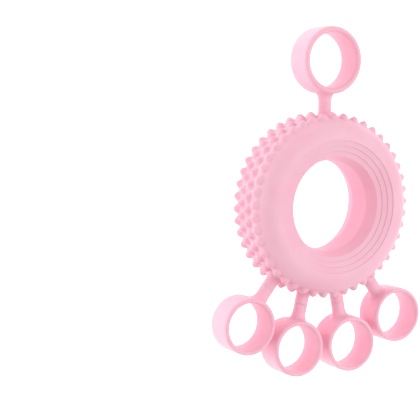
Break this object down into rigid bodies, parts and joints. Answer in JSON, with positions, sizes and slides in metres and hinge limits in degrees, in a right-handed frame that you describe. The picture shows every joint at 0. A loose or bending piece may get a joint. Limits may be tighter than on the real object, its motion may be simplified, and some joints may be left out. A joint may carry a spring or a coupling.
{
  "type": "finger exerciser",
  "caption": "Soft silicone hand grip ring with a nubbed outer band and stretchy finger loops on short necks: a thumb loop opposite a fan of loops for the fingers.",
  "frame": {"origin": "centre of the ring's hole, midway through its thickness", "axes": "+Z along the hole's axis out of the front face, +Y towards the thumb loop, +X completing the right-handed set"},
  "size_m": [0.0984, 0.1471, 0.026],
  "materials": {
    "ring": "matt moulded silicone, slightly translucent pink",
    "nubs": "matt moulded silicone, slightly translucent pink",
    "neck": "matt moulded silicone, slightly translucent pink",
    "loop": "satin moulded silicone, slightly translucent pink"
  },
  "bodies": {
    "grip": {"grip_finger_side": "ring", "nubs_finger_side": "nubs", "grip_left_side": "ring", "nubs_left_side": "nubs", "grip_right_side": "ring", "nubs_right_side": "nubs", "index_root": "neck", "middle_root": "neck", "ring_finger_root": "neck", "little_root": "neck"},
    "grip_thumb_side": {"grip_thumb_side": "ring", "nubs_thumb_side": "nubs", "thumb_root": "neck"},
    "thumb_neck": {"thumb_neck": "neck"},
    "thumb_loop": {"thumb_loop": "loop"},
    "index_neck": {"index_neck": "neck"},
    "index_loop": {"index_loop": "loop"},
    "middle_neck": {"middle_neck": "neck"},
    "middle_loop": {"middle_loop": "loop"},
    "ring_finger_neck": {"ring_finger_neck": "neck"},
    "ring_finger_loop": {"ring_finger_loop": "loop"},
    "little_neck": {"little_neck": "neck"},
    "little_loop": {"little_loop": "loop"}
  },
  "joints": [
    {"name": "ring_squeeze", "type": "slide", "parent": "grip", "child": "grip_thumb_side", "axis": [0, -1, 0], "range_m": [0, 0.012], "stiffness_N_per_m": 9000, "deforming": ["grip_left_side", "grip_right_side", "nubs_left_side", "nubs_right_side"]},
    {"name": "thumb_bend", "type": "hinge", "parent": "grip_thumb_side", "child": "thumb_neck", "pos_m": [0, 0.041, 0], "axis": [1, 0, 0], "range_deg": [-40, 40], "stiffness_Nm_per_rad": 0.05, "deforming": ["thumb_neck"]},
    {"name": "thumb_stretch", "type": "slide", "parent": "thumb_neck", "child": "thumb_loop", "axis": [0, 1, 0], "range_m": [0, 0.02], "stiffness_N_per_m": 1200, "deforming": ["thumb_neck"]},
    {"name": "index_bend", "type": "hinge", "parent": "grip", "child": "index_neck", "pos_m": [-0.02509, -0.03306, 0], "axis": [-0.7965, 0.6046, 0], "range_deg": [-25, 25], "stiffness_Nm_per_rad": 0.05, "deforming": ["index_neck"]},
    {"name": "index_stretch", "type": "slide", "parent": "index_neck", "child": "index_loop", "axis": [-0.6046, -0.7965, 0], "range_m": [0, 0.02], "stiffness_N_per_m": 1200, "deforming": ["index_neck"]},
    {"name": "middle_bend", "type": "hinge", "parent": "grip", "child": "middle_neck", "pos_m": [-0.00891, -0.04053, 0], "axis": [-0.9767, 0.2147, 0], "range_deg": [-25, 25], "stiffness_Nm_per_rad": 0.05, "deforming": ["middle_neck"]},
    {"name": "middle_stretch", "type": "slide", "parent": "middle_neck", "child": "middle_loop", "axis": [-0.2147, -0.9767, 0], "range_m": [0, 0.02], "stiffness_N_per_m": 1200, "deforming": ["middle_neck"]},
    {"name": "ring_finger_bend", "type": "hinge", "parent": "grip", "child": "ring_finger_neck", "pos_m": [0.00891, -0.04053, 0], "axis": [-0.9767, -0.2147, 0], "range_deg": [-25, 25], "stiffness_Nm_per_rad": 0.05, "deforming": ["ring_finger_neck"]},
    {"name": "ring_finger_stretch", "type": "slide", "parent": "ring_finger_neck", "child": "ring_finger_loop", "axis": [0.2147, -0.9767, 0], "range_m": [0, 0.02], "stiffness_N_per_m": 1200, "deforming": ["ring_finger_neck"]},
    {"name": "little_bend", "type": "hinge", "parent": "grip", "child": "little_neck", "pos_m": [0.02509, -0.03306, 0], "axis": [-0.7965, -0.6046, 0], "range_deg": [-25, 25], "stiffness_Nm_per_rad": 0.05, "deforming": ["little_neck"]},
    {"name": "little_stretch", "type": "slide", "parent": "little_neck", "child": "little_loop", "axis": [0.6046, -0.7965, 0], "range_m": [0, 0.02], "stiffness_N_per_m": 1200, "deforming": ["little_neck"]}
  ]
}
